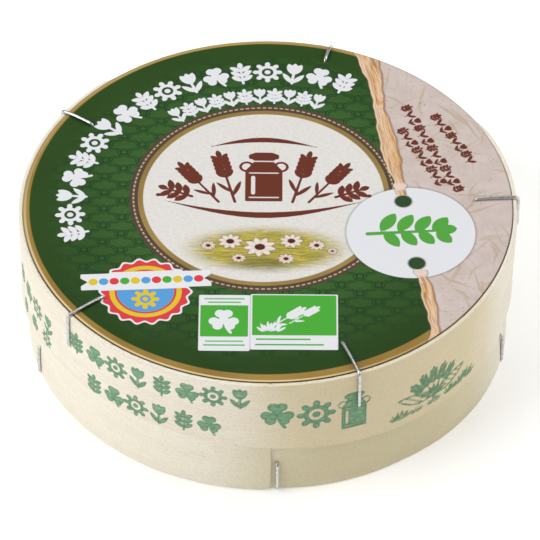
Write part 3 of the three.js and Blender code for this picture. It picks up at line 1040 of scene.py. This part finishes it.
def labelMaterial():
    material, bench = newMaterial("printedLabel")
    place = objectMm(bench)
    x, y, _ = apart(bench, place)
    white, brown, tagGreen = apart(bench, attribute(bench, "printA"))
    bright, panel, red = apart(bench, attribute(bench, "printB"))
    yellow, blue, sector = apart(bench, attribute(bench, "printC"))
    strip, across, fibres = apart(bench, attribute(bench, "printD"))
    petals, hearts, grass = apart(bench, attribute(bench, "printE"))
    reach, _ = ringAround(x, y, (-0.3, 0.8))
    fromAxis, _ = ringAround(x, y, (0.0, 0.0))
    inner, around = ringAround(x, y, layout["medallion"])
    fromTag, _ = ringAround(x, y, layout["tag"])
    cloud = noiseAt(bench, place, 0.06, 3.0)
    speck = noiseAt(bench, place, 2.2, 3.0, 0.65)
    streak = noiseAt(bench, stretched(bench, place, (0.5, 3.6, 1.0)), 1.0, 3.0, 0.6)

    # green ground, darker towards the front as painted shade, lighter round the medallion, with tone-on-tone
    # clouds that fade out near the rim
    colour = cloud.smooth(0.35, 0.65).over(paint("#294719"), paint("#2d4b1c"))
    # painted shade: the green darkens towards the front
    colour = (y.smooth(-5, -40) * 0.5).over(colour, paint("#253f17"))
    lines, bodies = cloudFans(x, y)
    fade = (reach + (cloud - 0.5) * 12).smooth(45.0, 52.5, 1.0, 0.0)
    near = inner.smooth(30, 46, 1.0, 0.3)
    colour = (fade * near * 0.5).over(colour, paint("#32561f"))
    colour = (bodies * fade * near * 0.8).over(colour, paint("#3d6430"))
    colour = (lines * fade * 0.92).over(colour, paint("#143a1f"))
    colour = (speck.smooth(0.6, 0.8) * 0.18).over(colour, paint("#1f3213"))
    # gold edge, with a painted highlight along the paper's very edge, strongest at the front left
    gold = cloud.smooth(0.3, 0.7).over(paint("#927338"), paint("#a68845"))
    colour = (rings["goldEdge"] - reach).printed(0.2).over(colour, gold)
    # painted highlight where the paper's edge catches the light, front and left
    frontLeft = y.smooth(-30, 20, 1.0, 0.25) * x.smooth(0, 40, 1.0, 0.2)
    brightLine = (rings["brightLine"] - fromAxis).printed(0.3) * frontLeft
    colour = brightLine.over(colour, paint("#e6cf9c"))
    # medallion: brown ring with a bead line, gold ring, cream field
    colour = (inner - rings["brown"]).printed(0.2).over(colour, paint("#54443a"))
    turns = around * (rings["beadCount"] / (2 * math.pi))
    bead = (turns.math("FRACT") - 0.5).math("ABSOLUTE").smooth(0.26, 0.36, 1.0, 0.0)
    beadRow = (inner - rings["beads"]).math("ABSOLUTE").smooth(0.12, 0.28, 1.0, 0.0)
    colour = (bead * beadRow).over(colour, paint("#c2aa84"))
    dullGold = cloud.smooth(0.3, 0.7).over(paint("#8e7540"), paint("#a3884e"))
    colour = (inner - rings["gold"]).printed(0.2).over(colour, dullGold)
    pulp = noiseAt(bench, place, 1.1, 5.0, 0.65)
    cream = pulp.smooth(0.3, 0.7).over(paint("#dcd9d3"), paint("#e6e3de"))
    colour = (inner - rings["cream"]).printed(0.2).over(colour, cream)
    # meadow painted in streaks, with daisies in it
    grown = (grass + (streak - 0.5) * 0.35).smooth(0.1, 0.6) * (rings["cream"] - inner).smooth(0, 1)
    blade = noiseAt(bench, stretched(bench, place, (0.35, 4.6, 1.0)), 1.0, 4.0, 0.65)
    turf = blade.node("ShaderNodeValToRGB", {"stops": [
        (0.3, paint("#5f6118")), (0.42, paint("#8f8a26")), (0.54, paint("#bfab37")),
        (0.68, paint("#dcc75c"))]},
        {"Fac": blade})
    turf = (speck.smooth(0.56, 0.72) * 0.4).over(turf, paint("#5d641c"))
    shade, _ = ringAround(x, y * 2.4, (-1.5, -47.0))
    turf = (shade.smooth(4, 10, 0.55, 0.0)).over(turf, paint("#4a4c17"))
    colour = (grown * 0.95).over(colour, turf)
    colour = (petals - 0.12).printed(0.16).over(colour, paint("#7d6248"))
    petal = speck.smooth(0.35, 0.65).over(paint("#efe9e2"), paint("#dfd2c4"))
    petal = (petals.smooth(-0.45, -0.05) * 0.35).over(petal, paint("#b98f6b"))
    colour = petals.printed(0.16).over(colour, petal)
    heart = speck.smooth(0.35, 0.65).over(paint("#6d2f22"), paint("#421c18"))
    colour = (hearts + (speck - 0.5) * 0.4).printed(0.2).over(colour, heart)
    # undyed paper to the right of the tie
    right = sector.printed(0.2)
    mottled = noiseAt(bench, place, 0.22, 4.0, 0.6)
    fleck = noiseAt(bench, place, 1.7, 1.0)
    raw = mottled.smooth(0.3, 0.7).over(paint("#d3c5bf"), paint("#cabab2"))
    raw = (fibres.smooth(-0.2, 0.2, 1.0, 0.0) * 0.75).over(raw, paint("#bda88f"))
    raw = (fleck.smooth(0.7, 0.74) * 0.55).over(raw, paint("#8d8580"))
    colour = right.over(colour, raw)
    # round tag with its two punched holes
    colour = (fromTag - layout["tagRadius"]).smooth(-0.1, 0.7, 0.5, 0.0).over(colour, paint("#4a4640"))
    colour = (fromTag - layout["tagRadius"]).printed(0.2).over(colour, paint("#e3e4e8"))
    for hole in ("upperHole", "lowerHole"):
        gap, _ = ringAround(x, y, layout[hole])
        colour = (gap - 2.25).printed(0.3).over(colour, paint("#b9b9b2"))
        colour = (gap - 1.95).printed(0.2).over(colour, paint("#2f4a2b"))
    # twisted paper tie, drawn over the tag's edge into its holes, with creased folds
    fold = noiseAt(bench, together(bench, across * 0.75, y * 0.07), 1.0, 4.0, 0.6, 1.2)
    hair = noiseAt(bench, together(bench, across * 4.2 + 9, y * 0.12), 1.0, 3.0, 0.6, 0.4)
    twine = fold.node("ShaderNodeValToRGB", {"stops": [
        (0.32, paint("#a06f3f")), (0.4, paint("#c8975f")), (0.47, paint("#ddb585")),
        (0.54, paint("#e6cbb0")),
        (0.62, paint("#cfa06a"))]}, {"Fac": fold})
    twine = (hair.smooth(0.53, 0.68) * 0.45).over(twine, paint("#95622f"))
    twine = (hair.smooth(0.45, 0.34) * 0.45).over(twine, paint("#efdccb"))
    twine = (strip.smooth(-0.45, -0.1) * across.smooth(0.2, 1.0) * 0.75).over(twine, paint("#9c6448"))
    twine = (strip.smooth(-0.5, -0.15) * across.smooth(-0.2, -1.0) * 0.6).over(twine, paint("#eddac9"))
    knots = (y - 6.8).math("ABSOLUTE").smooth(0.7, 1.7, 1.0, 0.0)
    knots = knots + (y + 21.4).math("ABSOLUTE").smooth(0.7, 1.6, 1.0, 0.0)
    twine = (knots.clamped() * 0.8).over(twine, paint("#e9d6cf"))
    colour = (strip - 0.05).smooth(0.0, 0.4, 0.55, 0.0).over(colour, paint("#6d5446"))
    colour = strip.printed(0.2).over(colour, twine)
    colour = tagGreen.printed().over(colour, paint("#55a542"))
    colour = white.printed().over(colour, paint("#e4e5e9"))
    colour = bright.printed().over(colour, paint("#e6e7ea"))
    colour = panel.printed().over(colour, paint("#4cab3a"))
    for field, tone in ((red, "#dc4047"), (blue, "#5a9fd8"), (yellow, "#dfc234")):
        colour = field.printed().over(colour, paint(tone))
    colour = brown.printed().over(colour, paint("#6c3325"))
    # painted shadow in the gap between the paper's edge and the rim, mostly at the front
    front = y.smooth(-30, 10, 1.0, 0.25)
    colour = ((rings["cutEdge"] - fromAxis).printed(0.2) * front).over(colour, paint("#6a5433"))
    fibre = noiseAt(bench, place, 6.0, 3.0, 0.7)
    relief = fibre * 0.4 + right * (0.3 * mottled) + strip.printed(0.5) * 0.5
    closeMaterial(bench, colour, 0.42 + fibre * 0.12 + right * 0.08, relief, 0.03, Specular_IOR_Level=0.12)
    return material


def makeLabel():
    flat, faces, count = flatDisc()
    reach = np.hypot(flat[:, 0], flat[:, 1])
    top = np.full(len(flat), label["top"])
    for k, (px, py) in enumerate(flat):  # the paper lies in slow waves, flat at the rim
        swell = noise.noise(Vector((px * 0.06, py * 0.06, 4.0)))
        swell += 0.4 * noise.noise(Vector((px * 0.2, py * 0.2, 9.0)))
        top[k] -= label["wave"] * (0.5 + 0.5 * swell) * min(1.0, (label["radius"] - reach[k]) / 6 + 0.3)
    for where, leg in zip(staples["lidAzimuths"], staples["lidTopLegs"]):  # dented where each wire goes in
        a = math.radians(where)
        tip = hoops["lid"]["Radius"] - leg
        gap = (flat[:, 0] - tip * math.cos(a)) ** 2 + (flat[:, 1] - tip * math.sin(a)) ** 2
        top -= 0.14 * np.exp(-gap / 1.1)
    low = label["top"] - label["thickness"] - 0.02
    ringPlaces = flat[:count]
    verts = [(px * mm, py * mm, z * mm) for (px, py), z in zip(flat, top)]
    verts += [(px * mm, py * mm, low * mm) for px, py in ringPlaces]
    under = len(flat)
    walls = [(k, under + k, under + (k + 1) % count, (k + 1) % count) for k in range(count)]
    floorFace = [tuple(under + k for k in reversed(range(count)))]
    mesh = bpy.data.meshes.new("label_sheet")
    mesh.from_pydata(verts, [], faces + walls + floorFace)
    mesh.materials.append(labelMaterial())
    points = np.concatenate([flat, ringPlaces])
    for name, channels in labelFields(points).items():
        layer = mesh.attributes.new(name, "FLOAT_VECTOR", "POINT")
        layer.data.foreach_set("vector", np.stack(channels, axis=1).astype(np.float32).ravel())
    facesOutward(mesh)
    shadeSmooth(mesh)
    adopt(inScene("label_sheet", mesh), "label_paper", "lid_label")


makeLabel()
print("label printed")


# discs, cheese and wrapping

def discMaterial():
    material, bench = newMaterial("poplarDisc")
    place = objectMm(bench)
    broad = noiseAt(bench, stretched(bench, place, (0.015, 0.12, 0.3)), 1.0, 4.0)
    streak = noiseAt(bench, stretched(bench, place, (0.04, 1.3, 1.0)), 1.0, 4.0, 0.6, 0.5)
    pores = noiseAt(bench, stretched(bench, place, (1.0, 11.0, 4.0)), 1.0, 2.0, 0.6)
    colour = broad.smooth(0.3, 0.7).over(paint("#e6dcc0"), paint("#efe7d2"))
    colour = (streak.smooth(0.48, 0.72) * 0.45).over(colour, paint("#d0bf98"))
    pore = pores.smooth(0.6, 0.7)
    colour = (pore * 0.5).over(colour, paint("#b39d74"))
    closeMaterial(bench, colour, 0.64 + streak * 0.1, streak * 0.5 - pore * 0.4, 0.06)
    return material


def dressDiscs():
    wood = discMaterial()
    for name in ("base_disc", "lid_disc"):
        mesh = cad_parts[name].data
        mesh.materials.clear()
        mesh.materials.append(wood)


cheese = {"radius": 52.9, "bottom": 2.75, "top": 30.85, "rounding": 4.2, "sectors": 220, "bloom": 0.3}
wrapping = {"gap": 0.25, "paper": 0.22, "opening": 6.0, "pleats": 26, "crease": 0.2}


def roundedProfile(radius, bottom, top, rounding, start, steps=90):
    # radius and height along a rounded drum, from start on the underside to the middle of the top
    corner = math.pi / 2 * rounding
    lengths = [radius - rounding - start, corner, top - bottom - 2 * rounding, corner, radius - rounding]
    total = sum(lengths)
    profile = []
    for k in range(steps + 1):
        run = total * k / steps
        if run < lengths[0]:
            profile.append((start + run, bottom))
            continue
        run -= lengths[0]
        if run < corner:
            a = run / rounding
            out, down = rounding * math.sin(a), rounding * math.cos(a)
            profile.append((radius - rounding + out, bottom + rounding - down))
            continue
        run -= corner
        if run < lengths[2]:
            profile.append((radius, bottom + rounding + run))
            continue
        run -= lengths[2]
        if run < corner:
            a = run / rounding
            out, up = rounding * math.cos(a), rounding * math.sin(a)
            profile.append((radius - rounding + out, top - rounding + up))
            continue
        profile.append((max(radius - rounding - (run - corner), 0.0), top))
    return profile


def spun(name, profile, sectors, displace, material, closed):
    # turns a profile about the axis; closed joins the last ring to the first, else both ends meet the axis
    rings = [(r, z) for r, z in profile if r > 1e-6]
    verts, faces = [], []
    for r, z in rings:
        for s in range(sectors):
            a = 2 * math.pi * s / sectors
            push, lift = displace(a, r, z)
            verts.append(((r + push) * math.cos(a) * mm, (r + push) * math.sin(a) * mm, (z + lift) * mm))
    spans = len(rings) if closed else len(rings) - 1
    for i in range(spans):
        j = (i + 1) % len(rings)
        for s in range(sectors):
            t = (s + 1) % sectors
            faces.append((i * sectors + s, i * sectors + t, j * sectors + t, j * sectors + s))
    if not closed:
        for ring, z in ((0, profile[0][1]), (len(rings) - 1, profile[-1][1])):
            verts.append((0, 0, z * mm))
            pole = len(verts) - 1
            faces += [(pole, ring * sectors + s, ring * sectors + (s + 1) % sectors) for s in range(sectors)]
    mesh = bpy.data.meshes.new(name)
    mesh.from_pydata(verts, [], faces)
    facesOutward(mesh)
    mesh.materials.append(material)
    shadeSmooth(mesh, 60)
    return inScene(name, mesh)


def rindMaterial():
    # velvety white bloom with straw-coloured ribs showing through
    material, bench = newMaterial("bloomyRind")
    place = objectMm(bench)
    patch = noiseAt(bench, place, 0.16, 5.0, 0.6)
    down = noiseAt(bench, place, 3.2, 4.0, 0.7)
    colour = patch.smooth(0.4, 0.62).over(paint("#f1ece0"), paint("#f7f4ec"))
    colour = (patch.smooth(0.66, 0.8) * 0.6).over(colour, paint("#dcbf8c"))
    closeMaterial(bench, colour, 0.85, down + patch, 0.12, Sheen_Weight=0.3)
    return material


def wrapperMaterial():
    material, bench = newMaterial("waxedPaper")
    place = objectMm(bench)
    crinkle = noiseAt(bench, place, 0.3, 5.0, 0.6, 0.6)
    fibre = noiseAt(bench, place, 4.0, 3.0)
    colour = crinkle.smooth(0.35, 0.65).over(paint("#eceae2"), paint("#f5f4ef"))
    closeMaterial(bench, colour, 0.38 + fibre * 0.15, crinkle + fibre * 0.1, 0.25)
    return material


def makeCheese():
    profile = [(0.0, cheese["bottom"])] + roundedProfile(
        cheese["radius"], cheese["bottom"], cheese["top"], cheese["rounding"], 0.6)

    def bloom(a, r, z):
        where = Vector((r * math.cos(a) * 0.12, r * math.sin(a) * 0.12, z * 0.12))
        lump = noise.fractal(where, 1.0, 2.0, 4)
        shrink = cheese["bloom"] * (0.5 + 0.5 * lump)
        middle = (cheese["bottom"] + cheese["top"]) / 2
        share = min(r / cheese["radius"], 1.0)
        return -shrink * share * share, -shrink * 0.6 * (1 - share ** 4) * (1 if z > middle else -1)

    wheel = spun("cheese", profile, cheese["sectors"], bloom, rindMaterial(), False)
    adopt(wheel, "rind", "cheese_wheel")


def makeWrapper():
    inner = roundedProfile(cheese["radius"] + wrapping["gap"], cheese["bottom"] - wrapping["gap"],
                           cheese["top"] + wrapping["gap"], cheese["rounding"] + wrapping["gap"],
                           wrapping["opening"])
    reach = wrapping["gap"] + wrapping["paper"]
    outer = roundedProfile(cheese["radius"] + reach, cheese["bottom"] - reach,
                           cheese["top"] + reach, cheese["rounding"] + reach, wrapping["opening"])
    # the folds gather underneath; on top and round the side the sheet is only creased
    profile = [(max(r, 0.4), z) for r, z in outer] + [(max(r, 0.4), z) for r, z in reversed(inner)]

    def pleat(a, r, z):
        gather = math.sin(wrapping["pleats"] * a + 3 * math.sin(r * 0.12))
        crease = noise.noise(Vector((math.cos(a) * r * 0.1, math.sin(a) * r * 0.1, z * 0.1)))
        middle = (cheese["bottom"] + cheese["top"]) / 2
        if z < middle and r < 48:
            return 0.0, wrapping["crease"] * 0.5 * gather * (1 - r / 60)
        side = 1.0 if r > 48 else 0.0
        push = wrapping["crease"] * side * (0.6 * abs(gather) + 0.6 * crease)
        lift = wrapping["crease"] * (1 - side) * (1 + 2 * crease)
        return push, lift

    sheet = spun("wrapping_sheet", profile, 260, pleat, wrapperMaterial(), True)
    adopt(sheet, "wrapper_paper", "cheese_wrapper")


dressDiscs()
makeCheese()
makeWrapper()
print("discs, cheese and wrapping done")


# loose fibres on the cut edges

edges = {  # radius, height, warp, count, longest, seed
    "lid_rim_fibres": (56.95, 35.5, 0.0, 150, 1.5, 5),
    "lid_skirt_fibres": (57.1, 15.25, 1.7, 130, 2.2, 11),
    "base_foot_fibres": (55.7, 0.45, 0.0, 60, 1.3, 17),
}


def fibreTree(material):
    tree = GeometryBench("edgeFibres", {"Radius": 57.0, "Height": 35.0, "Warp": 0.0, "Count": 100,
                                        "Longest": 1.5, "Seed": 1})
    bench = tree.bench
    line = bench.node("GeometryNodeMeshLine", {}, {"Count": tree["Count"]})

    def chance(low, high, offset):
        values = {2: low, 3: high, 8: tree["Seed"] + offset}
        return bench.node("FunctionNodeRandomValue", {"data_type": "FLOAT"}, values, out=1)

    azimuth = chance(0.0, 2 * math.pi, 0)
    radius = tree["Radius"] + chance(-0.2, 0.15, 1)
    height = tree["Height"] + tree["Warp"] * (azimuth * 2).math("SINE")
    spread = moved(line, *aroundAxis(azimuth, radius), height * mm)
    splinter = bench.node("GeometryNodeMeshCone", {},
                          {"Vertices": 4, "Radius Top": 0.0, "Radius Bottom": 0.07 * mm,
                                                       "Depth": 1.0 * mm})
    turn = together(bench, chance(1.25, 1.9, 2), 0.0, azimuth + chance(-0.25, 0.25, 3))
    length = chance(0.3, 1.0, 4)
    size = together(bench, 1.0, 1.0, length * tree["Longest"])
    fibres = bench.node("GeometryNodeInstanceOnPoints", {}, {
        "Points": spread, "Instance": splinter, "Rotation": turn, "Scale": size})
    tree.close(fibres, material)
    return tree


def makeFibres():
    material, bench = newMaterial("looseFibre")
    tone = noiseAt(bench, objectMm(bench), 0.8, 2.0)
    closeMaterial(bench, tone.smooth(0.3, 0.7).over(paint("#efe6cf"), paint("#ddcda8")), 0.75, tone, 0.02)
    tree = fibreTree(material)
    for name, (radius, height, warp, count, longest, seed) in edges.items():
        piece = tree.run(name, {"Radius": radius, "Height": height, "Warp": warp, "Count": count,
                                "Longest": longest, "Seed": seed})
        adopt(piece, "veneer")


makeFibres()
print("edges frayed")
